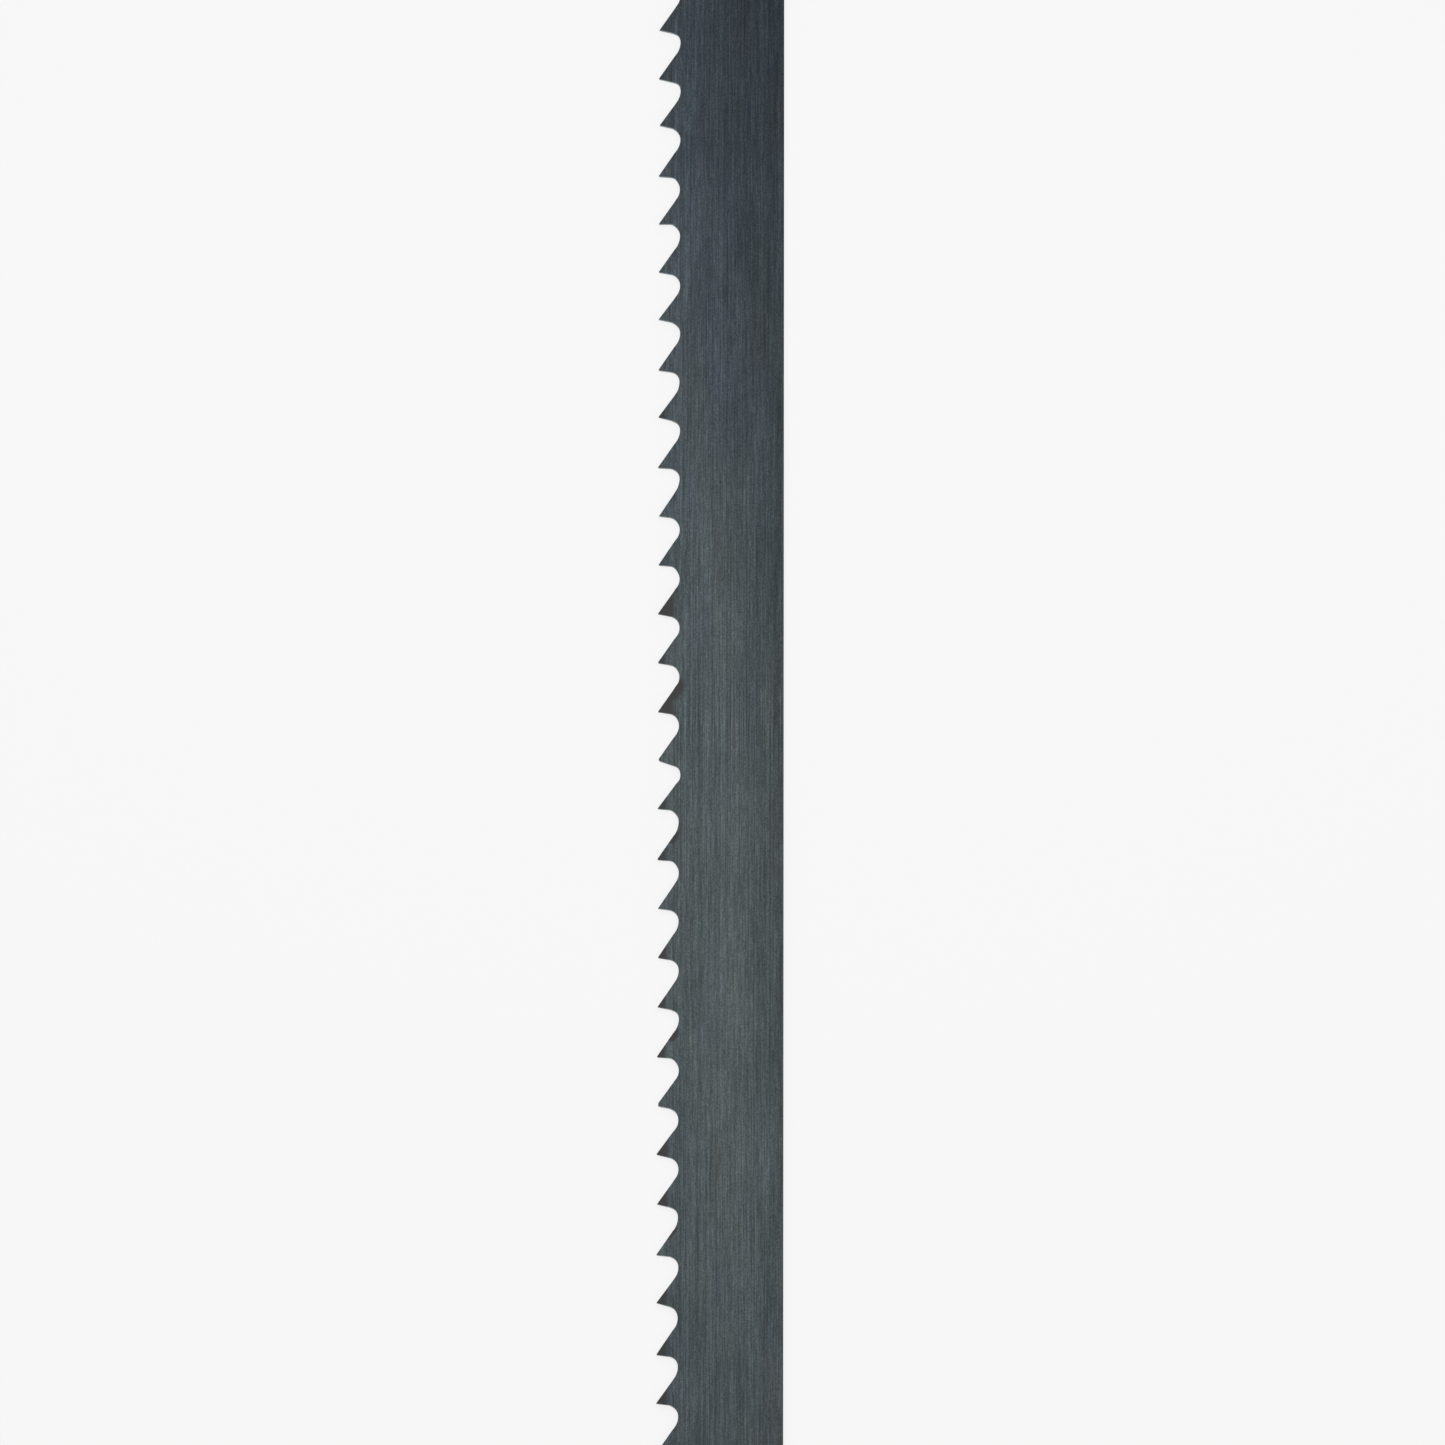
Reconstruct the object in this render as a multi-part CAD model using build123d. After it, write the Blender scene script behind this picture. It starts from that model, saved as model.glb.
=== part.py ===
from build123d import *

import math
import os

# Straight length of a band saw blade, lying on its side. Millimetres, +Z up.
# X runs across the blade, from the tooth tips (-X) to the back edge (+X). Y runs along it, and the
# teeth cut towards -Y. Z is its thickness. The origin is under the middle of the blade, level with the
# lowest tooth tip.

# Steel strip
WIDTH = 15.875  # five eighths of an inch, tooth tips to back edge
THICKNESS = 0.5
BACK_ROUNDING = 0.12  # radius on both corners of the back edge

# Teeth, cut into one edge of the strip
PITCH = 6.35  # four teeth to the inch
TOOTH_COUNT = 32
GULLET_DEPTH = 2.71
FACE_LEAN = 9.8  # degrees that the cutting face leans from square to the blade, its root leading its tip
BACK_ANGLE = 35.3  # degrees between the tooth's back and the blade's length
FACE_GULLET_RADIUS = 1.42  # the tight curve at the foot of the cutting face
BACK_GULLET_RADIUS = 2.3  # the open curve that runs up into the next tooth's back
TIP_RADIUS = 0.05
WORN_TIP_RADIUS = 0.16
WORN_TEETH = (16, 23)  # counted from 0 at the +Y end: the two teeth with blunted tips

# Set, the teeth bent to alternate sides
SET_REACH = 2.2  # from the tips in to the line where a tooth starts to bend
SET_ANGLE = 5.5  # degrees that a tooth leans out of the strip
BEND_RADIUS = 1.5  # on the inside of the bend

CLEARANCE = 10  # how far a shape that trims another one reaches past it

# Worked out from the above
LENGTH = PITCH * TOOTH_COUNT
BACK_X = WIDTH / 2
TIP_X = -WIDTH / 2
SET_X = TIP_X + SET_REACH
GULLET_X = TIP_X + GULLET_DEPTH
FACE_SLOPE = math.tan(math.radians(FACE_LEAN))
BACK_SLOPE = math.tan(math.radians(BACK_ANGLE))
TIP_WEDGE = 90 - BACK_ANGLE + FACE_LEAN
BEND = math.radians(SET_ANGLE)
STRAIGHT_REACH = SET_REACH - BEND_RADIUS * math.sin(BEND)
TIP_DROP = BEND_RADIUS * (1 - math.cos(BEND)) + STRAIGHT_REACH * math.tan(BEND)
FLAT_Z = TIP_DROP  # the strip's lower side, held off the ground by the teeth that are set downwards


def sharp_excess(radius):
    """How far the sharp corner of a tooth stands out past its rounded tip."""
    half = math.radians(TIP_WEDGE / 2)
    bisector = math.radians((90 - BACK_ANGLE - FACE_LEAN) / 2)
    return radius * (math.cos(bisector) / math.sin(half) - 1)


SHARP_X = TIP_X - sharp_excess(TIP_RADIUS)
FACE_RUN = (GULLET_X - SHARP_X) * FACE_SLOPE
BACK_RUN = (GULLET_X - SHARP_X) / BACK_SLOPE
FACE_CURVE = FACE_GULLET_RADIUS / math.tan(math.radians(90 + FACE_LEAN) / 2)
BACK_CURVE = BACK_GULLET_RADIUS / math.tan(math.radians(180 - BACK_ANGLE) / 2)
GULLET_FLOOR = PITCH - FACE_RUN - BACK_RUN - FACE_CURVE - BACK_CURVE  # the short flat between the two curves
TIP_TO_FLOOR = FACE_RUN + FACE_CURVE + GULLET_FLOOR / 2


def tooth_corners(index):
    """A tooth's three sharp corners, heel to root, each with the radius that rounds it."""
    # the blade's ends are cut in the middle of a gullet's flat
    tip_y = LENGTH / 2 - (PITCH - TIP_TO_FLOOR) - index * PITCH
    heel = ((GULLET_X, tip_y + BACK_RUN), BACK_GULLET_RADIUS)
    tip = ((SHARP_X, tip_y), WORN_TIP_RADIUS if index in WORN_TEETH else TIP_RADIUS)
    root = ((GULLET_X, tip_y - FACE_RUN), FACE_GULLET_RADIUS)
    return [heel, tip, root]


def blade_outline():
    """The whole blade seen from its side: back edge, two square ends, and the toothed edge."""
    corners = [((BACK_X, LENGTH / 2), 0), ((GULLET_X, LENGTH / 2), 0)]
    for index in range(TOOTH_COUNT):
        corners += tooth_corners(index)
    corners += [((GULLET_X, -LENGTH / 2), 0), ((BACK_X, -LENGTH / 2), 0)]
    points = [point for point, radius in corners]
    radii = [radius for point, radius in corners]
    return make_face(FilletPolyline(*points, radius=radii, close=True))


def half_outline(outline, low_x, high_x):
    """The part of the outline between two lines along the blade."""
    window = Pos((low_x + high_x) / 2, 0) * Rectangle(high_x - low_x, LENGTH + CLEARANCE)
    return outline & window


def flat_body(outline):
    """The strip behind the line of the set, with the bottoms of the gullets, and its back edge rounded."""
    body = extrude(Pos(0, 0, FLAT_Z) * half_outline(outline, SET_X, BACK_X + CLEARANCE), THICKNESS)
    back_corners = body.edges().filter_by(Axis.Y).group_by(Axis.X)[-1]
    return fillet(back_corners, BACK_ROUNDING)


def set_section(side):
    """The section of a bar bent at the line of the set, upwards where side is 1 and downwards where -1."""
    with BuildSketch(Plane.XZ) as section:
        with BuildLine():
            outer = JernArc((SET_X, THICKNESS / 2), (-1, 0), BEND_RADIUS + THICKNESS, SET_ANGLE)
            inner = JernArc((SET_X, -THICKNESS / 2), (-1, 0), BEND_RADIUS, SET_ANGLE)
            outer_end = PolarLine(outer @ 1, CLEARANCE, direction=outer % 1)
            inner_end = PolarLine(inner @ 1, CLEARANCE, direction=inner % 1)
            Line(outer_end @ 1, inner_end @ 1)
            Line(outer @ 0, inner @ 0)
        make_face()
    bent_down = section.sketch
    bent = bent_down if side < 0 else mirror(bent_down, about=Plane.XY)
    return Pos(0, 0, FLAT_Z + THICKNESS / 2) * bent


def set_teeth(outline):
    """Every tooth outside the line of the set, bent up and down in turn."""
    comb = half_outline(outline, TIP_X - CLEARANCE, SET_X)
    flat_teeth = comb.faces().sort_by(Axis.Y, reverse=True)
    teeth = []
    for index, flat_tooth in enumerate(flat_teeth):
        side = 1 if index % 2 == 0 else -1
        middle_y = flat_tooth.center().Y
        blank = extrude(flat_tooth, CLEARANCE, both=True)
        bar = extrude(Pos(0, middle_y, 0) * set_section(side), PITCH / 2, both=True)
        teeth.append(blank & bar)
    return teeth


outline = blade_outline()
blade = flat_body(outline).fuse(*set_teeth(outline))

os.makedirs("parts", exist_ok=True)
export_step(blade, "parts/blade.step")

box = blade.bounding_box()
print("size", round(box.size.X, 3), round(box.size.Y, 3), round(box.size.Z, 3))
print("low corner", round(box.min.X, 3), round(box.min.Y, 3), round(box.min.Z, 4))
print("solids", len(blade.solids()), "faces", len(blade.faces()), "volume", round(blade.volume, 2))
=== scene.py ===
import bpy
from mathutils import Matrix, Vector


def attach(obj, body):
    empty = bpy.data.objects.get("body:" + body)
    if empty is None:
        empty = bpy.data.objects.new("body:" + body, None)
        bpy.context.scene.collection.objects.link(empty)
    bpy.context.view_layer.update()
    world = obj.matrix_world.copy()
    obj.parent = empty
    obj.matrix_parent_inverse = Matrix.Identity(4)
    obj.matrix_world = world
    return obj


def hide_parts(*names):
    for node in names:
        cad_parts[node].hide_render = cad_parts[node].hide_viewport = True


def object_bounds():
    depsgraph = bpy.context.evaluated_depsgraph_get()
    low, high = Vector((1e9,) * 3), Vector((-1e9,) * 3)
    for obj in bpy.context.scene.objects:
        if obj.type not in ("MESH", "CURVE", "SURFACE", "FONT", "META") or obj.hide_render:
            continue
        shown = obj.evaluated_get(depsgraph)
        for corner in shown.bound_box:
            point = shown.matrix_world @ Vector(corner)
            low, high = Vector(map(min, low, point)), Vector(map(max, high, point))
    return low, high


bl_info = {
    "name": "Band saw blade",
    "version": (1, 0, 0),
    "blender": (4, 5, 0),
    "location": "3D View > Sidebar > Saw blade",
    "description": "Models and finishes a toothed length of band saw blade on a pale studio floor",
    "category": "Mesh",
}

import math
import random

import bmesh
import bpy
from mathutils import Vector

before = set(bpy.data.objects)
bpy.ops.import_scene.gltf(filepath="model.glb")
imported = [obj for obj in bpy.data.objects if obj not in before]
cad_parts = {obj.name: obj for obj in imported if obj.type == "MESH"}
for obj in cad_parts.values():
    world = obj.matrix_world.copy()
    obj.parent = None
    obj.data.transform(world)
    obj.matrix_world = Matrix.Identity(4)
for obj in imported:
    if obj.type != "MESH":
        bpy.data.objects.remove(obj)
CAD_LOW, CAD_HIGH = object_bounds()

# The blade lies on its side. X runs across it from the tooth tips to the back edge, Y along it, the teeth cut
# towards -Y, and Z is its thickness. Blender works in metres. A size written here is in millimetres, and is
# multiplied by MM where it is used.
MM = 0.001
NODE = "blade"
BODY = "root"

# Facets in each rounded stretch of the outline
GULLET_STEPS = 14
TIP_STEPS = 5
BACK_STEPS = 4
BEND_STEPS = 4
RIM_STEPS = 2
SMOOTH_ANGLE = math.radians(30)

# Distances in metres that the modelling works to
HOLD = 0.05 * MM  # a line of edges this far from a curve keeps the flat beside it flat in the light
WELD = 0.004 * MM  # points closer than this are one
SNAP = WELD / 4  # a cut that comes this close to a point runs through it

# How far a face looks along an axis, from 0 where it lies along the axis to 1 where it is square to it
SQUARE_ON = 0.9
EDGE_ON = 0.1
GROUND = 0.7  # from here up along Z, a face was ground with the strip's sides

# Teeth are counted from 0 at the +Y end, and the sizes on them are in millimetres
WORN_TEETH = {16: 0.08, 23: 0.2}  # with the flat worn on the tip
SHORT_TEETH = (3, 11, 12, 19, 20)
SHORT_BY = 0.1
DEEP_GULLETS = (16,)
DEEP_BY = 0.13
# By tooth, how far along the blade the foot of its cutting face stands from its usual place: two faces are
# square to the blade, and the rest of these are filed back further than usual
FACE_FEET = {1: -0.1, 2: -0.1, 5: 0.2, 16: -0.22, 17: 0.2, 20: -0.1, 23: -0.14}

# Where wear and scatter take hold of a tooth, in millimetres across the blade and each way along it. The steel
# round each hold follows by less and less, out to its fade.
NOSE_HOLD = (0.13, 0.2)
FLAT_HOLD = (0.3, 0.08)
TIP_HOLD = (0.4, 0.6)
TIP_FADE = 1.9
FOOT_PLACE = (1.5, -0.3)  # the foot of a cutting face, from the tooth's sharp corner
FOOT_HOLD = (0.35, 0.3)
FOOT_FADE = 1.0
GULLET_PLACE = 0.27  # pitches from a tip to the bottom of the gullet in front of it
GULLET_HOLD = (0.1, 0.5)
GULLET_FADE = 1.2
DEPTH_SHARE = 0.25  # a gullet's depth scatters by this share of its scatter along the blade
SCATTER_SEED = 11

# Resin on the teeth, in millimetres; on tooth 9 the same dark patch is painted shade
RESIN_AND_SHADE = "resin"  # the mesh attribute with a tooth's resin, and on tooth 9 its painted shade: its reach in from the tip, and the size of its cake
RESIN_AND_SHADE_REACHES = (
    (2.1, (13, 15)),
    (1.4, (24, 25, 28, 29)),
    (1.25, (20, 27)),
    (1.12, (17, 18, 21, 22)),
    # on tooth 9 this patch is painted shade, not resin
    (0.9, (9, 14)),
)  # in from the line of the tips, and the teeth that it covers so far
RESIN_AND_SHADE_ON_TEETH = {tooth: reach for reach, teeth in RESIN_AND_SHADE_REACHES for tooth in teeth}
CAKE_PLACE = 3.4  # up a tooth's back from its tip, where chips press and resin cakes
CAKES = {
    15: (1.15, 1.8),
    18: (0.6, 0.9),
    22: (0.75, 0.95),
    26: (0.35, 1.0),
}  # by tooth, how far its cake reaches in from the back, and each way along it
BARE = 0.01  # the reach where a tooth has no resin
BEFORE_TIP = 0.12  # the share of a pitch in front of a tip that counts as its tooth's
BLOTCH = (0.8, 0.8, 0.8)
BLOTCH_WEIGHT = 0.25
RESIN_EDGE = (0.8, 1.36)  # shares of its reach, with the blotches, where it starts to thin and where it ends

# A Mix node's colour sockets have no names of their own
MIX_FACTOR, MIX_A, MIX_B, MIX_RESULT = 0, 6, 7, 2

# Noise stays mostly between these two values, so steel in two colours is darkest at one and lightest at the
# other
NOISE_LOW, NOISE_HIGH = 0.25, 0.75
MARK_DEPTH = 0.004  # millimetres, of grinding and milling marks

# The ground sides, in millimetres
GRINDING_MARKS = ((0.13, 0.27), (0.4, 0.15), (2.2, 0.2), (9.0, 0.19), (45.0, 0.19))  # length, weight
MARK_WIDTH = 0.165  # real marks are about 0.03 mm wide, and are drawn as wide as the picture can show
MARK_BOTTOM, MARK_CREST = 0.265, 0.735  # the values of the marks that take the dark and the light steel
CREST_POWER = 1.8  # makes the crests narrow and the dull steel between them wide
TEMPER_PATCH = (3.5, 17, 1)
TEMPER_SPREAD = (0.17, 0.1, -0.135)  # how far red, green and blue wander with the temper, blue against red
DULL_PATCH = (3, 10, 1)
DULL_SPREAD = 0.31  # how far the light and dull patches differ
# Along the blade the tint drifts through three colours, and the middle one's place is a share of the way
DRIFT_ENDS = (-95, 90)
DRIFT_TINTS = ("#FDFDFF", "#FFFFFC", "#F2F5FF")
DRIFT_MIDDLE = 0.35
# Painted shade across the blade: the colour darkens towards the back, from a line that crosses it slowly
PAINTED_SHADE_ACROSS = (-0.8, 9.2)
PAINTED_SHADE_SLOPE = 0.045
PAINTED_SHADE_DARKEST = 0.7

# The cut and dressed surfaces, in millimetres
MILLED_PATCH = (0.08, 0.08, 1)
MILLED_DARK = "#6F7577"
DRESSED_PATCH = (0.06, 5, 0.06)
DRESSED_DARK = "#474E51"
TORN_GRAIN = 0.07
TORN_RAGGED = 0.08  # how far the line between burnished and torn steel strays
TORN_FADE = 0.04  # how wide that line is
TORN_DEPTH = 0.01

# The studio
WHITE = (1, 1, 1, 1)
FAR_CLIP = 10  # camera distances to the furthest thing that the camera sees
FLOOR_SIZE = 8  # metres
FLOOR_GLOW = 0.8  # how much of the floor's look is its own white, and the rest is lit and takes the shadow


def linear(hex_colour):
    """The linear colour, with its alpha, of an sRGB hex value such as #5A6366."""
    channels = [int(hex_colour[i:i + 2], 16) / 255 for i in (1, 3, 5)]
    low, high = 0.04045, 12.92
    return [c / high if c <= low else ((c + 0.055) / 1.055) ** 2.4 for c in channels] + [1.0]


def length(name, description, metres):
    """A property that holds a length."""
    return bpy.props.FloatProperty(
        name=name,
        description=description,
        default=metres,
        min=0,
        precision=5,
        unit="LENGTH",
        subtype="DISTANCE",
    )


def angle(name, description, degrees):
    """A property that holds an angle."""
    return bpy.props.FloatProperty(
        name=name, description=description, default=math.radians(degrees), unit="ROTATION", subtype="ANGLE"
    )


def colour(name, description, hex_colour):
    """A property that holds a colour."""
    return bpy.props.FloatVectorProperty(
        name=name, description=description, default=linear(hex_colour), size=4, min=0, max=1, subtype="COLOR"
    )


def amount(name, description, value):
    """A property that holds a plain number."""
    return bpy.props.FloatProperty(name=name, description=description, default=value, min=0)


class SawbladeShape(bpy.types.PropertyGroup):
    """Sizes of the strip and its teeth"""

    thickness: length("Thickness", "Gauge of the steel strip", 0.5 * MM)
    back_rounding: length("Back rounding", "Radius on both corners of the back edge", 0.12 * MM)
    teeth: bpy.props.IntProperty(name="Teeth", description="Number of teeth on this length", default=32, min=1)
    gullet_depth: length("Gullet depth", "From the tooth tips to the bottom of the gullets", 2.71 * MM)
    face_lean: angle("Face lean", "Cutting face from square to the blade, its root leading", 9.8)
    back_angle: angle("Back angle", "Tooth's back from the blade's length", 35.3)
    face_gullet_radius: length("Face gullet radius", "Tight curve at the foot of the cutting face", 1.42 * MM)
    back_gullet_radius: length("Back gullet radius", "Open curve into the next tooth's back", 2.3 * MM)
    tip_radius: length("Tip radius", "Rounding of a sound tooth tip", 0.05 * MM)
    worn_tip_radius: length("Worn tip radius", "Rounding of a blunted tooth tip", 0.16 * MM)
    set_reach: length("Set reach", "From the tips to the line where a tooth starts to bend", 2.2 * MM)
    set_angle: angle("Set angle", "Lean of a tooth out of the strip", 5.5)
    bend_radius: length("Bend radius", "Inside radius of the bend that gives a tooth its set", 1.5 * MM)
    rim: length("Rim", "Width of the worn rim round every tooth and gullet", 0.025 * MM)
    tip_scatter: length("Tip scatter", "How far a tip may stand from its place along the blade", 0.12 * MM)
    tip_loss: length("Tip loss", "How much shorter than the longest a sound tooth may be", 0.09 * MM)
    foot_scatter: length("Foot scatter", "How far a cutting face's foot may stand from its place", 0.09 * MM)
    gullet_scatter: length("Gullet scatter", "How far a gullet's bottom may stand from its place", 0.18 * MM)


class SawbladeFinish(bpy.types.PropertyGroup):
    """Colours and roughness of the steel"""

    steel_light: colour("Steel, crests", "Narrow crests between the grinding marks on the sides", "#687275")
    steel_dark: colour("Steel, marks", "Bottoms of the grinding marks", "#3A4043")
    roughness: amount("Roughness", "Roughness of the ground sides", 0.36)
    milled: colour("Milled steel", "Cutting faces, tooth backs and gullets", "#8C9193")
    dressed: colour("Dressed steel", "Back edge", "#626A6D")
    sheared: colour("Sheared steel", "Torn part of the two cut ends", "#7B7F80")
    # on tooth 9 this colour is laid as painted shade
    resin: colour("Resin", "Baked-on wood resin on the tooth tips", "#20201F")


class SawbladeStudio(bpy.types.PropertyGroup):
    """Floor, light and camera"""

    floor: colour("Floor", "Pale floor as the camera sees it", "#F7F7F7")
    world_strength: amount("World strength", "Even light from all round", 0.55)
    lamp_power: amount("Lamp power", "Soft lamp across the blade, in watts", 0.252)
    lamp_width: length("Lamp width", "Across the blade", 500 * MM)
    lamp_depth: length("Lamp depth", "Along the blade", 180 * MM)
    lamp_offset: length("Lamp offset", "From the middle of the blade towards its +Y end", 52 * MM)
    lamp_height: length("Lamp height", "Above the blade", 300 * MM)
    camera_distance: length("Camera distance", "From the camera to the middle of the blade", 2690 * MM)
    camera_tilt: angle("Camera tilt", "Camera's lean from straight down, towards the -Y end", 13.59)
    camera_roll: angle("Camera roll", "Turn of the camera about its own line of sight", 0.083)
    field: length("Field", "Width of the picture at the blade", 181.82 * MM)
    target: bpy.props.FloatVectorProperty(
        name="Target",
        description="Place on the blade at the middle of the picture",
        default=(0.237 * MM, 0.322 * MM, 0.45 * MM),
        precision=5,
        unit="LENGTH",
        subtype="XYZ",
    )


class Outline:
    """Places on the blade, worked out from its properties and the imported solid's box."""

    def __init__(self, shape):
        self.shape = shape
        self.end = CAD_HIGH.y
        self.pitch = (CAD_HIGH.y - CAD_LOW.y) / shape.teeth
        self.back = CAD_HIGH.x
        self.gullet = CAD_LOW.x + shape.gullet_depth
        self.set_line = CAD_LOW.x + shape.set_reach
        self.middle = (CAD_LOW.z + CAD_HIGH.z) / 2
        self.tip_corner = math.radians(90) - shape.back_angle + shape.face_lean
        self.root_corner = math.radians(90) + shape.face_lean
        self.heel_corner = math.radians(180) - shape.back_angle
        # bending a tooth out of the strip swings one rim of its tip outwards, so the flat tooth is that much
        # shorter
        rim_out = shape.thickness / 2 * math.sin(shape.set_angle)
        swing = rim_out - shape.set_reach * (1 - math.cos(shape.set_angle))
        bisector = (math.radians(90) - shape.back_angle - shape.face_lean) / 2
        excess = shape.tip_radius * (math.cos(bisector) / math.sin(self.tip_corner / 2) - 1)
        self.sharp = CAD_LOW.x + swing - excess
        self.face_run = (self.gullet - self.sharp) * math.tan(shape.face_lean)
        self.back_run = (self.gullet - self.sharp) / math.tan(shape.back_angle)
        face_curve = shape.face_gullet_radius / math.tan(self.root_corner / 2)
        back_curve = shape.back_gullet_radius / math.tan(self.heel_corner / 2)
        floor = self.pitch - self.face_run - self.back_run - face_curve - back_curve
        # the blade's ends are cut in the middle of a gullet's short flat
        self.first_tip = self.end - (self.pitch - self.face_run - face_curve - floor / 2)

    def tip(self, tooth):
        """Y of a tooth's tip."""
        return self.first_tip - tooth * self.pitch

    def tooth_at(self, y):
        """The number of the tooth whose share of the length holds y."""
        return math.floor((self.end - y) / self.pitch)


def deselect_objects():
    """Select no object, so that an operator acts only on what is chosen next."""
    bpy.ops.object.select_all(action="DESELECT")


def add_block(name, low, high):
    """A block between two corners, with its place and size in its mesh."""
    deselect_objects()
    bpy.ops.mesh.primitive_cube_add(size=1, location=(low + high) / 2, scale=high - low)
    block = bpy.context.object
    block.name = name
    bpy.ops.object.transform_apply(location=True, rotation=True, scale=True)
    return block


def choose(piece, kind, test):
    """In edit mode, select the elements of one kind whose middle passes a test, and nothing else."""
    bpy.ops.mesh.select_mode(type=kind)
    bpy.ops.mesh.select_all(action="DESELECT")
    mesh = bmesh.from_edit_mesh(piece.data)
    elements = {"VERT": mesh.verts, "EDGE": mesh.edges, "FACE": mesh.faces}[kind]
    found = False
    for element in elements:
        corners = [element] if kind == "VERT" else element.verts
        middle = sum((corner.co for corner in corners), Vector()) / len(corners)
        if test(middle, element):
            element.select_set(True)
            found = True
    if not found:
        raise RuntimeError(f"{piece.name}: nothing of kind {kind} lies where it is to be worked on")
    bmesh.update_edit_mesh(piece.data)


def near(a, b, reach=WELD):
    """Whether two measures are the same for a choice by place."""
    return abs(a - b) < reach


def slice_across(axis, place):
    """In edit mode, cut new edges through the whole mesh on a plane square to an axis."""
    bpy.ops.mesh.select_all(action="SELECT")
    bpy.ops.mesh.bisect(plane_co=axis * place, plane_no=axis, threshold=SNAP)


def round_profile(corner):
    """The bevel profile that rounds a corner of this angle along a true circle."""
    half = corner / 2
    return (1 - (1 - math.sin(half)) / (2 * math.cos(half) ** 2)) ** 2


def is_rim(edge):
    """Whether an edge lies between a flat side of the strip and a cut wall."""
    leans = sorted(abs(face.normal.z) for face in edge.link_faces)
    return len(leans) == 2 and leans[0] < EDGE_ON and leans[1] > SQUARE_ON


def shape_one_tooth(piece, outline):
    """In edit mode, raise a tooth from the block's -X side and round its gullets and its tip."""
    shape = outline.shape
    tip_y = outline.tip(0)
    heel_y = tip_y + outline.back_run
    root_y = tip_y - outline.face_run
    # the block's two ends are open, because the next tooth joins on there
    choose(piece, "FACE", lambda middle, face: abs(face.normal.y) > SQUARE_ON)
    bpy.ops.mesh.delete(type="ONLY_FACE")
    slice_across(Vector((0, 1, 0)), heel_y)
    slice_across(Vector((0, 1, 0)), root_y)
    choose(piece, "FACE", lambda middle, face: face.normal.x < -SQUARE_ON and root_y < middle.y < heel_y)
    bpy.ops.mesh.extrude_region_move(TRANSFORM_OT_translate={"value": (outline.sharp - outline.gullet, 0, 0)})
    bpy.ops.transform.resize(value=(1, 0, 1), center_override=(outline.sharp, tip_y, outline.middle))
    bpy.ops.mesh.select_all(action="SELECT")
    bpy.ops.mesh.remove_doubles(threshold=WELD)
    choose(piece, "FACE", lambda middle, face: abs(face.normal.z) > SQUARE_ON)
    bpy.ops.mesh.dissolve_faces()
    corners = (
        (outline.gullet, heel_y, outline.heel_corner, shape.back_gullet_radius, GULLET_STEPS),
        (outline.gullet, root_y, outline.root_corner, shape.face_gullet_radius, GULLET_STEPS),
        (outline.sharp, tip_y, outline.tip_corner, shape.tip_radius, TIP_STEPS),
    )
    for x, y, corner, radius, steps in corners:
        choose(piece, "EDGE", lambda middle, edge: near(middle.x, x) and near(middle.y, y))
        bpy.ops.mesh.bevel(
            offset=radius / math.tan(corner / 2),
            segments=steps,
            profile=round_profile(corner),
            affect="EDGES",
            clamp_overlap=False,
        )
    choose(
        piece,
        "EDGE",
        lambda middle, edge: near(middle.x, outline.back) and not near(middle.z, outline.middle),
    )
    bpy.ops.mesh.bevel(offset=shape.back_rounding, segments=BACK_STEPS, affect="EDGES")
    choose(piece, "EDGE", lambda middle, edge: middle.x < outline.gullet + WELD and is_rim(edge))
    bpy.ops.mesh.bevel(offset=shape.rim, segments=RIM_STEPS, affect="EDGES", clamp_overlap=False)
    bpy.ops.mesh.select_all(action="SELECT")
    bpy.ops.mesh.remove_doubles(threshold=WELD)


def bend_lines(outline):
    """The lines along the blade where a tooth turns a little further out of the strip."""
    shape = outline.shape
    bent_length = (shape.bend_radius + shape.thickness / 2) * shape.set_angle
    return [outline.set_line - bent_length * (step + 0.5) / BEND_STEPS for step in range(BEND_STEPS)]


def slice_for_bends(outline):
    """In edit mode, cut the lines that the set bends at, and the lines that keep the flats flat."""
    lines = bend_lines(outline)
    back_hold = outline.back - outline.shape.back_rounding - HOLD
    for place in [back_hold, lines[0] + HOLD] + lines + [lines[-1] - HOLD]:
        slice_across(Vector((1, 0, 0)), place)


def repeat_along(piece, outline):
    """Copy the one tooth along the blade, join the copies, and close the two cut ends."""
    row = piece.modifiers.new("Row of teeth", "ARRAY")
    row.count = outline.shape.teeth
    row.use_relative_offset = False
    row.use_constant_offset = True
    row.constant_offset_displace = (0, -outline.pitch, 0)
    row.use_merge_vertices = True
    row.merge_threshold = WELD
    bpy.ops.object.modifier_apply(modifier=row.name)
    bpy.ops.object.mode_set(mode="EDIT")
    bpy.ops.mesh.select_all(action="SELECT")
    bpy.ops.mesh.fill_holes(sides=0)
    bpy.ops.mesh.select_all(action="SELECT")
    bpy.ops.mesh.normals_make_consistent(inside=False)
    bpy.ops.object.mode_set(mode="OBJECT")


def set_the_teeth(piece, outline):
    """In edit mode, bend every other tooth up and the rest down, a little at each bend line."""
    for side in (0, 1):
        turn = (1 if side == 0 else -1) * outline.shape.set_angle / BEND_STEPS
        for place in reversed(bend_lines(outline)):
            choose(
                piece,
                "VERT",
                lambda middle, point: middle.x < place - WELD and outline.tooth_at(middle.y) % 2 == side,
            )
            bpy.ops.transform.rotate(value=turn, orient_axis="Y", center_override=(place, 0, outline.middle))


def shade_round_edges(piece):
    """Shade rims, bends and gullets as round, while each large flat keeps its own normal."""
    bpy.ops.object.shade_smooth_by_angle(angle=SMOOTH_ANGLE)
    weighted = piece.modifiers.new("Flats stay flat", "WEIGHTED_NORMAL")
    weighted.keep_sharp = True
    bpy.ops.object.modifier_apply(modifier=weighted.name)


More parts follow.
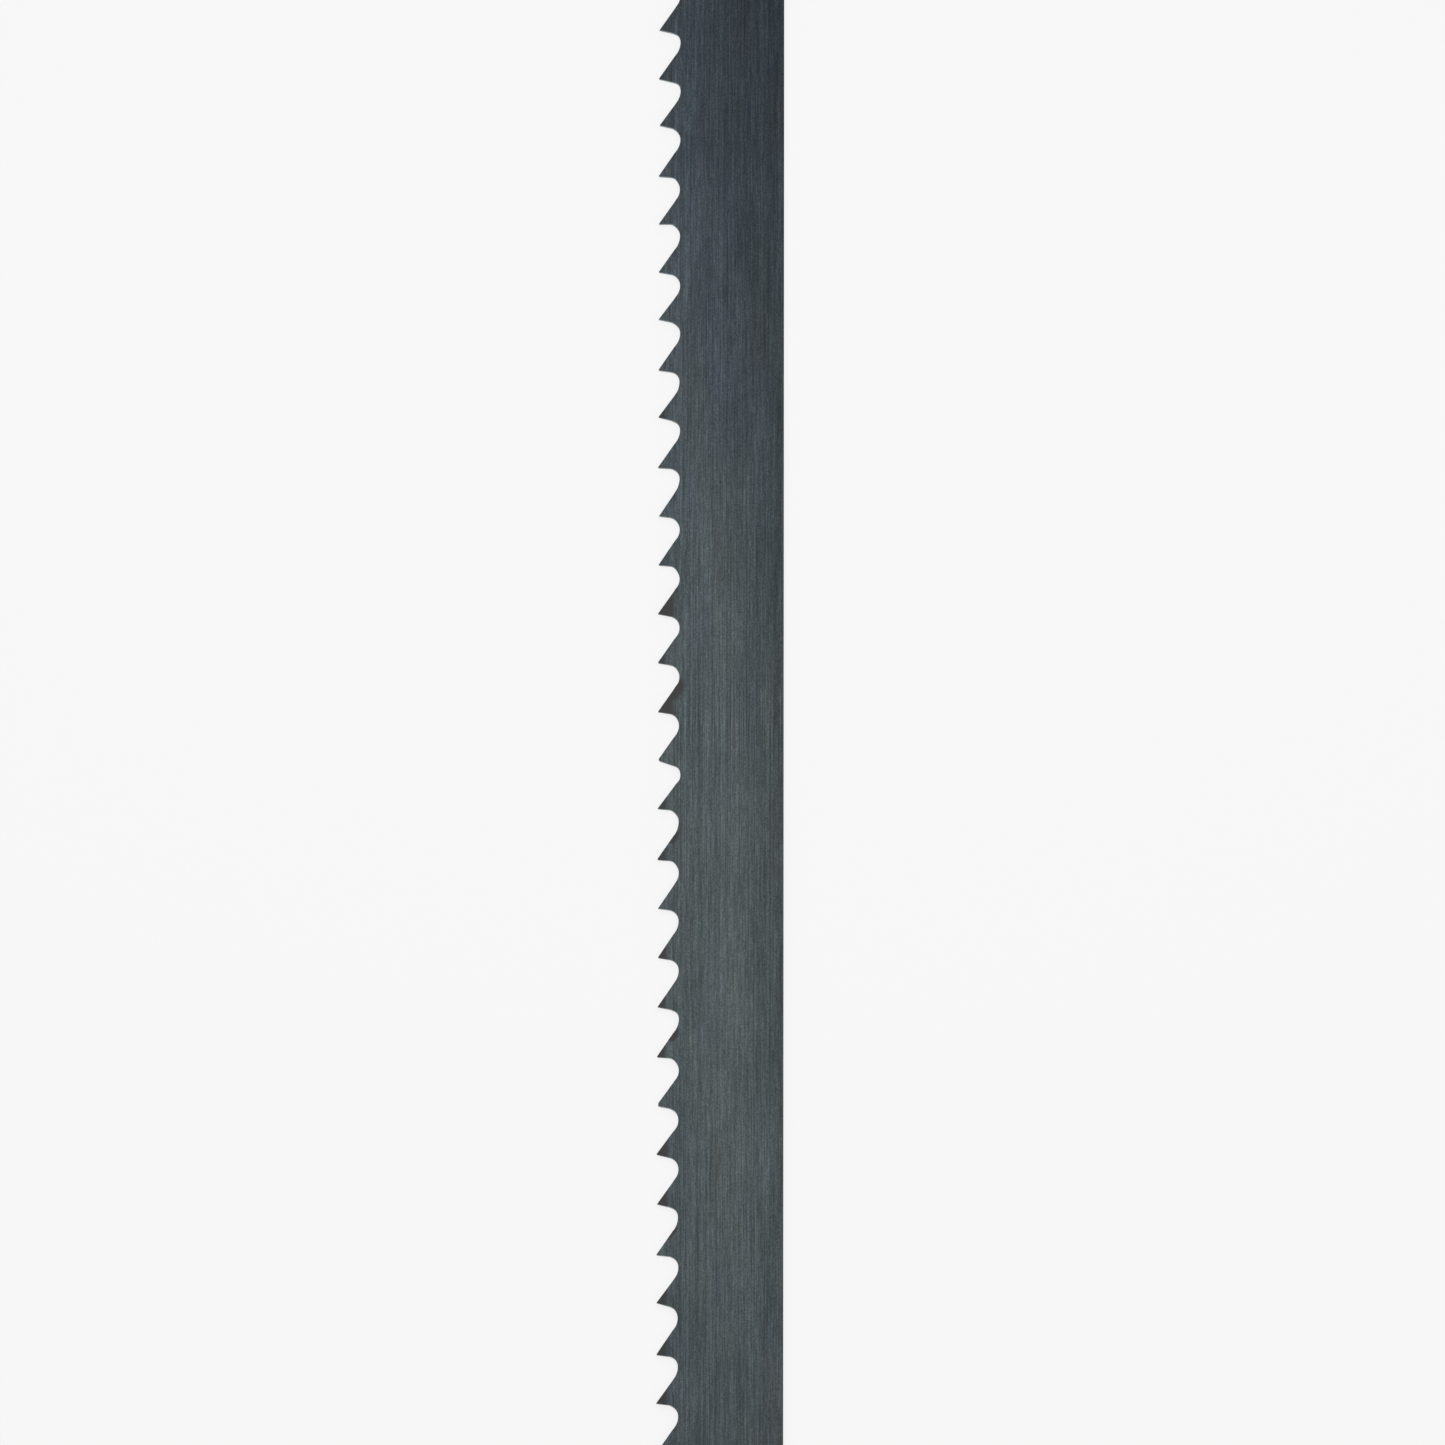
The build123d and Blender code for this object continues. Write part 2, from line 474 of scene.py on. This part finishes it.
def on_tip(outline, tooth, hold):
    """A test for the points within a hold on a tooth's sharp corner, or further out."""
    depth, along = hold
    tip_y = outline.tip(tooth)
    return lambda middle, point: middle.x < outline.sharp + depth * MM and near(middle.y, tip_y, along * MM)


def on_place(x, y, hold):
    """A test for the points within a hold on a place on the blade."""
    across, along = hold
    return lambda middle, point: near(middle.x, x, across * MM) and near(middle.y, y, along * MM)


def push(piece, test, shift, fade):
    """In edit mode, move the points that pass a test, and the rest by less and less out to the fade."""
    choose(piece, "VERT", test)
    bpy.ops.transform.translate(
        value=shift, use_proportional_edit=True, proportional_edit_falloff="SMOOTH", proportional_size=fade * MM
    )


def blunt_tip(piece, outline, tooth):
    """In edit mode, widen a tooth's rounded tip, and draw it out along the blade into a flat."""
    shape = outline.shape
    blunt = shape.worn_tip_radius / shape.tip_radius
    choose(piece, "VERT", on_tip(outline, tooth, NOSE_HOLD))
    bpy.ops.transform.resize(
        value=(blunt, blunt, 1), center_override=(outline.sharp, outline.tip(tooth), outline.middle)
    )
    choose(piece, "VERT", on_tip(outline, tooth, FLAT_HOLD))
    bpy.ops.transform.translate(value=(0, -WORN_TEETH[tooth] * MM, 0), use_proportional_edit=False)


def wear_and_scatter(piece, outline):
    """In edit mode, blunt the worn tips, and move each tooth's tip, the foot of its cutting face and its gullet
    a little, as a worn cutter and hand filing leave them."""
    shape = outline.shape
    chance = random.Random(SCATTER_SEED)
    for tooth in range(shape.teeth):
        tip_y = outline.tip(tooth)
        if tooth in WORN_TEETH:
            blunt_tip(piece, outline, tooth)
        loss = chance.uniform(0, shape.tip_loss) + (SHORT_BY * MM if tooth in SHORT_TEETH else 0)
        shift = chance.uniform(-1, 1) * shape.tip_scatter
        push(piece, on_tip(outline, tooth, TIP_HOLD), (loss, shift, 0), TIP_FADE)
        foot_x = outline.sharp + FOOT_PLACE[0] * MM
        foot_y = tip_y + FOOT_PLACE[1] * MM
        shift = chance.uniform(-1, 1) * shape.foot_scatter + FACE_FEET.get(tooth, 0) * MM
        push(piece, on_place(foot_x, foot_y, FOOT_HOLD), (0, shift, 0), FOOT_FADE)
        if tooth == shape.teeth - 1:
            break  # the last gullet is cut through by the blade's end
        gullet_y = tip_y - outline.pitch * GULLET_PLACE
        deeper = chance.uniform(-DEPTH_SHARE, DEPTH_SHARE) * shape.gullet_scatter
        deeper += DEEP_BY * MM if tooth in DEEP_GULLETS else 0
        shift = chance.uniform(-1, 1) * shape.gullet_scatter
        push(piece, on_place(outline.gullet, gullet_y, GULLET_HOLD), (deeper, shift, 0), GULLET_FADE)


def add_node(tree, kind, settings=None, inputs=None):
    """Add one node with its settings, values and links, and return it."""
    node = tree.nodes.new(kind)
    for name, value in (settings or {}).items():
        setattr(node, name, value)
    for name, value in (inputs or {}).items():
        if isinstance(value, bpy.types.NodeSocket):
            tree.links.new(value, node.inputs[name])
        else:
            node.inputs[name].default_value = value
    return node


def new_material(name):
    """An empty material, with its node tree."""
    material = bpy.data.materials.new(name)
    material.use_nodes = True
    material.node_tree.nodes.clear()
    return material, material.node_tree


def mottle(tree, place, size, detail=0.0):
    """Noise near 0.5 whose patches have this size in millimetres along X, Y and Z."""
    space = add_node(
        tree, "ShaderNodeMapping", inputs={"Vector": place, "Scale": [1 / (side * MM) for side in size]}
    )
    return add_node(
        tree, "ShaderNodeTexNoise", inputs={"Vector": space.outputs[0], "Scale": 1.0, "Detail": detail}
    ).outputs


def grinding_marks(tree, place):
    """A value near 0.5 that varies finely across the blade and slowly along it."""
    total = 0.0
    for mark_length, weight in GRINDING_MARKS:
        marks = mottle(tree, place, (MARK_WIDTH, mark_length, 1))
        total = add_node(
            tree, "ShaderNodeMath", {"operation": "MULTIPLY_ADD"}, {0: marks["Fac"], 1: weight, 2: total}
        ).outputs[0]
    return total


def resin_and_shade_cover(tree, place, outline):
    """Where baked-on resin covers a tooth, and on tooth 9 painted shade: out to a line along the blade, as deep
    as the tooth cut, and in a cake high on its back."""
    parts = add_node(tree, "ShaderNodeSeparateXYZ", inputs={0: place})
    # how far a point lies above the nearest tip, the same for each tooth
    pitches = add_node(
        tree,
        "ShaderNodeMath",
        {"operation": "MULTIPLY_ADD"},
        {0: parts.outputs["Y"], 1: 1 / outline.pitch, 2: BEFORE_TIP - outline.first_tip / outline.pitch},
    )
    share = add_node(tree, "ShaderNodeMath", {"operation": "FRACT"}, {0: pitches.outputs[0]})
    above = add_node(
        tree,
        "ShaderNodeMath",
        {"operation": "MULTIPLY_ADD"},
        {0: share.outputs[0], 1: outline.pitch, 2: -BEFORE_TIP * outline.pitch},
    )
    on_tooth = add_node(tree, "ShaderNodeCombineXYZ", inputs={"X": parts.outputs["X"], "Y": above.outputs[0]})
    back_angle = outline.shape.back_angle
    cake_middle = Vector((math.sin(back_angle), math.cos(back_angle), 0)) * CAKE_PLACE * MM
    along_back = add_node(
        tree,
        "ShaderNodeMapping",
        {"vector_type": "TEXTURE"},
        {
            "Vector": on_tooth.outputs[0],
            "Location": cake_middle + Vector((CAD_LOW.x, 0, 0)),
            "Rotation": (0, 0, -back_angle),
            "Scale": (MM, MM, MM),
        },
    )
    tooth = add_node(tree, "ShaderNodeAttribute", {"attribute_type": "GEOMETRY", "attribute_name": RESIN_AND_SHADE})
    reach = add_node(tree, "ShaderNodeSeparateXYZ", inputs={0: tooth.outputs["Vector"]})
    from_tips = add_node(
        tree,
        "ShaderNodeMath",
        {"operation": "MULTIPLY_ADD"},
        {0: parts.outputs["X"], 1: 1 / MM, 2: -CAD_LOW.x / MM},
    )
    patch = add_node(
        tree, "ShaderNodeMath", {"operation": "DIVIDE"}, {0: from_tips.outputs[0], 1: reach.outputs["X"]}
    )
    cake_size = add_node(
        tree, "ShaderNodeCombineXYZ", inputs={"X": reach.outputs["Y"], "Y": reach.outputs["Z"], "Z": 1.0}
    )
    cake_share = add_node(
        tree,
        "ShaderNodeVectorMath",
        {"operation": "DIVIDE"},
        {0: along_back.outputs[0], 1: cake_size.outputs[0]},
    )
    cake = add_node(tree, "ShaderNodeVectorMath", {"operation": "LENGTH"}, {0: cake_share.outputs[0]})
    nearest = add_node(
        tree, "ShaderNodeMath", {"operation": "MINIMUM"}, {0: patch.outputs[0], 1: cake.outputs["Value"]}
    )
    blotches = mottle(tree, place, BLOTCH, detail=2.0)
    ragged = add_node(
        tree,
        "ShaderNodeMath",
        {"operation": "MULTIPLY_ADD"},
        {0: blotches["Fac"], 1: BLOTCH_WEIGHT, 2: nearest.outputs[0]},
    )
    thins, ends = RESIN_EDGE
    return add_node(
        tree,
        "ShaderNodeMapRange",
        {"interpolation_type": "SMOOTHSTEP"},
        {"Value": ragged.outputs[0], "From Min": thins, "From Max": ends, "To Min": 1.0, "To Max": 0.0},
    ).outputs[0]


def finish_with_resin_and_shade(tree, outline, finish, place, steel, roughness, relief):
    """The steel's shader with resin over it, and painted shade on tooth 9: brown-black, smooth, without bare
    metal's glint.
    """
    cover = resin_and_shade_cover(tree, place, outline)
    surface = add_node(
        tree, "ShaderNodeMix", {"data_type": "RGBA"}, {MIX_FACTOR: cover, MIX_A: steel, MIX_B: finish.resin}
    )
    bare = add_node(tree, "ShaderNodeMath", {"operation": "SUBTRACT"}, {0: 1.0, 1: cover})
    shader = add_node(
        tree,
        "ShaderNodeBsdfPrincipled",
        inputs={
            "Base Color": surface.outputs[MIX_RESULT],
            "Metallic": bare.outputs[0],
            "Roughness": roughness,
            "Normal": relief,
        },
    )
    add_node(tree, "ShaderNodeOutputMaterial", inputs={"Surface": shader.outputs[0]})


def ground_steel(finish, outline):
    """Hardened and tempered spring steel strip, belt-ground along its length: a dark grey metal with a low
    sheen, fine marks all one way, a temper colour that wanders from straw to blue, and painted shade that
    darkens the colour towards the back."""
    material, tree = new_material("hardened and tempered spring steel, ground lengthwise")
    place = add_node(tree, "ShaderNodeTexCoord").outputs["Object"]
    marks = grinding_marks(tree, place)
    contrast = add_node(
        tree,
        "ShaderNodeMapRange",
        {"clamp": False},
        {"Value": marks, "From Min": MARK_BOTTOM, "From Max": MARK_CREST},
    )
    crests = add_node(tree, "ShaderNodeMath", {"operation": "POWER"}, {0: contrast.outputs[0], 1: CREST_POWER})
    steel = add_node(
        tree,
        "ShaderNodeMix",
        {"data_type": "RGBA"},
        {MIX_FACTOR: crests.outputs[0], MIX_A: finish.steel_dark, MIX_B: finish.steel_light},
    ).outputs[MIX_RESULT]
    # in each patch of temper colour the film is straw or blue, and by itself more or less green
    patches = mottle(tree, place, TEMPER_PATCH, detail=3.0)
    film = add_node(tree, "ShaderNodeSeparateColor", inputs={"Color": patches["Color"]})
    straw, green = film.outputs["Red"], film.outputs["Green"]
    film_colour = add_node(tree, "ShaderNodeCombineXYZ", inputs={"X": straw, "Y": green, "Z": straw})
    temper = add_node(
        tree,
        "ShaderNodeVectorMath",
        {"operation": "MULTIPLY_ADD"},
        {
            0: film_colour.outputs[0],
            1: TEMPER_SPREAD,
            2: [1 - spread / 2 for spread in TEMPER_SPREAD],
        },
    )
    # smaller patches that the belt ground lighter or duller
    dull = add_node(
        tree,
        "ShaderNodeMath",
        {"operation": "MULTIPLY_ADD"},
        {0: mottle(tree, place, DULL_PATCH)["Fac"], 1: DULL_SPREAD, 2: 1 - DULL_SPREAD / 2},
    )
    # the whole strip turns slowly bluer towards its ends, most of all at the +Y one
    along = add_node(tree, "ShaderNodeSeparateXYZ", inputs={0: place}).outputs["Y"]
    low_end, high_end = DRIFT_ENDS
    drift = add_node(
        tree, "ShaderNodeMapRange", inputs={"Value": along, "From Min": low_end * MM, "From Max": high_end * MM}
    )
    low_tint, middle_tint, high_tint = DRIFT_TINTS
    drift_colour = add_node(tree, "ShaderNodeValToRGB", inputs={"Fac": drift.outputs[0]})
    drift_colour.color_ramp.interpolation = "EASE"
    drift_colour.color_ramp.elements[0].color = linear(low_tint)
    drift_colour.color_ramp.elements[1].color = linear(high_tint)
    drift_colour.color_ramp.elements.new(DRIFT_MIDDLE).color = linear(middle_tint)
    # painted shade and sheen: the steel's colour is lightest along the teeth and darkens towards the back
    across = add_node(
        tree,
        "ShaderNodeVectorMath",
        {"operation": "DOT_PRODUCT"},
        {0: place, 1: (1 / MM, PAINTED_SHADE_SLOPE / MM, 0)},
    )
    starts, ends = PAINTED_SHADE_ACROSS
    depth = add_node(
        tree,
        "ShaderNodeMapRange",
        {"interpolation_type": "SMOOTHSTEP"},
        {
            "Value": across.outputs["Value"],
            "From Min": starts,
            "From Max": ends,
            "To Min": 1.0,
            "To Max": PAINTED_SHADE_DARKEST,
        },
    )
    # the last layer is the painted shade towards the back
    for layer in (temper.outputs[0], dull.outputs[0], drift_colour.outputs["Color"], depth.outputs[0]):
        tinted = add_node(tree, "ShaderNodeVectorMath", {"operation": "MULTIPLY"}, {0: steel, 1: layer})
        steel = tinted.outputs[0]
    relief = add_node(
        tree, "ShaderNodeBump", inputs={"Height": marks, "Strength": 0.3, "Distance": MARK_DEPTH * MM}
    )
    finish_with_resin_and_shade(tree, outline, finish, place, steel, finish.roughness, relief.outputs[0])
    return material


def milled_steel(finish, outline):
    """Steel cut by a milling cutter: cutting faces, tooth backs and gullets. Brighter than the ground sides,
    with the cutter's marks across the blade's thickness."""
    material, tree = new_material("milled steel")
    place = add_node(tree, "ShaderNodeTexCoord").outputs["Object"]
    marks = mottle(tree, place, MILLED_PATCH, detail=1.0)["Fac"]
    steel = add_node(tree, "ShaderNodeValToRGB", inputs={"Fac": marks})
    steel.color_ramp.elements[0].position = NOISE_LOW
    steel.color_ramp.elements[0].color = linear(MILLED_DARK)
    steel.color_ramp.elements[1].position = NOISE_HIGH
    steel.color_ramp.elements[1].color = finish.milled
    relief = add_node(
        tree, "ShaderNodeBump", inputs={"Height": marks, "Strength": 0.4, "Distance": MARK_DEPTH * MM}
    )
    finish_with_resin_and_shade(tree, outline, finish, place, steel.outputs["Color"], 0.38, relief.outputs[0])
    return material


def dressed_steel(finish):
    """The back edge, dressed smooth and slightly round so that it runs against the guides: worn bright
    lengthwise."""
    material, tree = new_material("spring steel, dressed back edge")
    place = add_node(tree, "ShaderNodeTexCoord").outputs["Object"]
    marks = mottle(tree, place, DRESSED_PATCH, detail=1.0)["Fac"]
    steel = add_node(tree, "ShaderNodeValToRGB", inputs={"Fac": marks})
    steel.color_ramp.elements[0].position = NOISE_LOW
    steel.color_ramp.elements[0].color = linear(DRESSED_DARK)
    steel.color_ramp.elements[1].position = NOISE_HIGH
    steel.color_ramp.elements[1].color = finish.dressed
    shader = add_node(
        tree,
        "ShaderNodeBsdfPrincipled",
        inputs={"Base Color": steel.outputs["Color"], "Metallic": 1.0, "Roughness": 0.34},
    )
    add_node(tree, "ShaderNodeOutputMaterial", inputs={"Surface": shader.outputs[0]})
    return material


def sheared_steel(finish, outline):
    """The two ends, cut off in a shear: a burnished band where the shear went in, and torn, duller steel above
    it."""
    material, tree = new_material("sheared spring steel")
    place = add_node(tree, "ShaderNodeTexCoord").outputs["Object"]
    height = add_node(tree, "ShaderNodeSeparateXYZ", inputs={0: place}).outputs["Z"]
    grains = add_node(
        tree, "ShaderNodeTexNoise", inputs={"Vector": place, "Scale": 1 / (TORN_GRAIN * MM), "Detail": 2.0}
    )
    edge = add_node(
        tree,
        "ShaderNodeMath",
        {"operation": "MULTIPLY_ADD"},
        {0: grains.outputs[0], 1: TORN_RAGGED * MM, 2: height},
    )
    torn = add_node(
        tree,
        "ShaderNodeMapRange",
        inputs={
            "Value": edge.outputs[0],
            "From Min": outline.middle,
            "From Max": outline.middle + TORN_FADE * MM,
        },
    )
    steel = add_node(
        tree,
        "ShaderNodeMix",
        {"data_type": "RGBA"},
        {MIX_FACTOR: torn.outputs[0], MIX_A: finish.milled, MIX_B: finish.sheared},
    )
    roughness = add_node(
        tree, "ShaderNodeMapRange", inputs={"Value": torn.outputs[0], "To Min": 0.3, "To Max": 0.6}
    )
    rough_height = add_node(
        tree, "ShaderNodeMath", {"operation": "MULTIPLY"}, {0: grains.outputs[0], 1: torn.outputs[0]}
    )
    relief = add_node(
        tree,
        "ShaderNodeBump",
        inputs={"Height": rough_height.outputs[0], "Strength": 0.8, "Distance": TORN_DEPTH * MM},
    )
    shader = add_node(
        tree,
        "ShaderNodeBsdfPrincipled",
        inputs={
            "Base Color": steel.outputs[MIX_RESULT],
            "Metallic": 1.0,
            "Roughness": roughness.outputs[0],
            "Normal": relief.outputs[0],
        },
    )
    add_node(tree, "ShaderNodeOutputMaterial", inputs={"Surface": shader.outputs[0]})
    return material


def finish_the_steel(piece, finish, outline):
    """Give each face the material that its cut left on it, and each tooth its share of resin, on tooth 9
    painted shade.
    """
    sides, cuts, back, ends = range(4)
    for material in (
        ground_steel(finish, outline),
        milled_steel(finish, outline),
        dressed_steel(finish),
        sheared_steel(finish, outline),
    ):
        piece.data.materials.append(material)
    for face in piece.data.polygons:
        if abs(face.normal.z) > GROUND:
            face.material_index = sides
        elif face.center.x > outline.back - outline.shape.back_rounding:
            face.material_index = back
        elif abs(face.center.y) > outline.end - WELD:
            face.material_index = ends
        else:
            face.material_index = cuts
    # the attribute comes after the material numbers, because their first one moves what was added before
    resin = piece.data.attributes.new(RESIN_AND_SHADE, "FLOAT_VECTOR", "FACE")
    for face in piece.data.polygons:
        tooth = outline.tooth_at(face.center.y)
        resin.data[face.index].vector = (RESIN_AND_SHADE_ON_TEETH.get(tooth, BARE), *CAKES.get(tooth, (BARE, BARE)))


class SAWBLADE_OT_toothed_strip(bpy.types.Operator):
    """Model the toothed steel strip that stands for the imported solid"""

    bl_idname = "sawblade.toothed_strip"
    bl_label = "Toothed strip"
    bl_options = {"REGISTER", "UNDO"}

    def execute(self, context):
        outline = Outline(context.scene.sawblade_shape)
        shape = outline.shape
        low = Vector((outline.gullet, outline.end - outline.pitch, outline.middle - shape.thickness / 2))
        high = Vector((outline.back, outline.end, outline.middle + shape.thickness / 2))
        piece = add_block("toothed_strip", low, high)
        bpy.ops.object.mode_set(mode="EDIT")
        shape_one_tooth(piece, outline)
        bpy.ops.object.mode_set(mode="OBJECT")
        repeat_along(piece, outline)
        bpy.ops.object.mode_set(mode="EDIT")
        wear_and_scatter(piece, outline)
        slice_for_bends(outline)
        set_the_teeth(piece, outline)
        bpy.ops.object.mode_set(mode="OBJECT")
        shade_round_edges(piece)
        finish_the_steel(piece, context.scene.sawblade_finish, outline)
        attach(piece, BODY)
        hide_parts(NODE)
        return {"FINISHED"}


class SAWBLADE_OT_studio(bpy.types.Operator):
    """Add the floor, the light and the camera"""

    bl_idname = "sawblade.studio"
    bl_label = "Studio"
    bl_options = {"REGISTER", "UNDO"}

    def execute(self, context):
        studio = context.scene.sawblade_studio
        add_floor(studio)
        add_light(studio)
        add_camera(studio)
        return {"FINISHED"}


def add_floor(studio):
    """A pale floor under the blade. To the camera, and in what the steel reflects, most of its look is a white
    glow of its own."""
    deselect_objects()
    bpy.ops.mesh.primitive_plane_add(size=FLOOR_SIZE)
    floor = bpy.context.object
    floor.name = "floor"
    material, tree = new_material("pale matt floor")
    shader = add_node(tree, "ShaderNodeBsdfDiffuse", inputs={"Color": studio.floor})
    glow = add_node(tree, "ShaderNodeEmission", inputs={"Color": WHITE, "Strength": 1.0})
    rays = add_node(tree, "ShaderNodeLightPath").outputs
    straight = add_node(
        tree, "ShaderNodeMath", {"operation": "MAXIMUM"}, {0: rays["Is Camera Ray"], 1: rays["Is Glossy Ray"]}
    )
    seen = add_node(
        tree,
        "ShaderNodeMath",
        {"operation": "MAXIMUM"},
        {0: straight.outputs[0], 1: rays["Is Transmission Ray"]},
    )
    share = add_node(tree, "ShaderNodeMath", {"operation": "MULTIPLY"}, {0: seen.outputs[0], 1: FLOOR_GLOW})
    mixed = add_node(
        tree, "ShaderNodeMixShader", inputs={0: share.outputs[0], 1: shader.outputs[0], 2: glow.outputs[0]}
    )
    add_node(tree, "ShaderNodeOutputMaterial", inputs={"Surface": mixed.outputs[0]})
    floor.data.materials.append(material)


def add_light(studio):
    """Even light from all round, and a soft lamp above the blade."""
    world = bpy.data.worlds.new("studio")
    bpy.context.scene.world = world
    world.use_nodes = True
    tree = world.node_tree
    tree.nodes.clear()
    background = add_node(
        tree, "ShaderNodeBackground", inputs={"Color": WHITE, "Strength": studio.world_strength}
    )
    add_node(tree, "ShaderNodeOutputWorld", inputs={"Surface": background.outputs[0]})
    deselect_objects()
    bpy.ops.object.light_add(type="AREA", location=(0, studio.lamp_offset, studio.lamp_height))
    lamp = bpy.context.object
    lamp.name = "soft lamp"
    lamp.data.shape = "RECTANGLE"
    lamp.data.size = studio.lamp_width
    lamp.data.size_y = studio.lamp_depth
    lamp.data.energy = studio.lamp_power
    lamp.visible_camera = False


def add_camera(studio):
    """The camera, high over the blade and leaning towards its -Y end."""
    tilt = studio.camera_tilt
    target = Vector(studio.target)
    back = Vector((0, -math.sin(tilt), math.cos(tilt)))
    deselect_objects()
    bpy.ops.object.camera_add(location=target + back * studio.camera_distance, rotation=(tilt, 0, 0))
    camera = bpy.context.object
    camera.name = "camera"
    camera.rotation_euler.rotate_axis("Z", studio.camera_roll)
    camera.data.lens = camera.data.sensor_width * studio.camera_distance / studio.field
    camera.data.clip_end = FAR_CLIP * studio.camera_distance
    bpy.context.scene.camera = camera


class SAWBLADE_PT_panel(bpy.types.Panel):
    """Lists the blade's sizes, finishes and operators"""

    bl_label = "Band saw blade"
    bl_idname = "SAWBLADE_PT_panel"
    bl_space_type = "VIEW_3D"
    bl_region_type = "UI"
    bl_category = "Saw blade"

    def draw(self, context):
        for group_name, operator in PANEL_ROWS:
            box = self.layout.box()
            group = getattr(context.scene, group_name)
            for name in group.bl_rna.properties.keys():
                if name not in ("rna_type", "name"):
                    box.prop(group, name)
            if operator:
                box.operator(operator)


PANEL_ROWS = (
    ("sawblade_shape", "sawblade.toothed_strip"),
    ("sawblade_finish", None),
    ("sawblade_studio", "sawblade.studio"),
)
CLASSES = (
    SawbladeShape,
    SawbladeFinish,
    SawbladeStudio,
    SAWBLADE_OT_toothed_strip,
    SAWBLADE_OT_studio,
    SAWBLADE_PT_panel,
)


def register():
    for each in CLASSES:
        bpy.utils.register_class(each)
    bpy.types.Scene.sawblade_shape = bpy.props.PointerProperty(type=SawbladeShape)
    bpy.types.Scene.sawblade_finish = bpy.props.PointerProperty(type=SawbladeFinish)
    bpy.types.Scene.sawblade_studio = bpy.props.PointerProperty(type=SawbladeStudio)


def unregister():
    del bpy.types.Scene.sawblade_studio
    del bpy.types.Scene.sawblade_finish
    del bpy.types.Scene.sawblade_shape
    for each in reversed(CLASSES):
        bpy.utils.unregister_class(each)


def main():
    register()
    bpy.ops.sawblade.studio()
    bpy.ops.sawblade.toothed_strip()
    bpy.context.scene.view_settings.view_transform = "Standard"


if __name__ == "__main__":
    main()
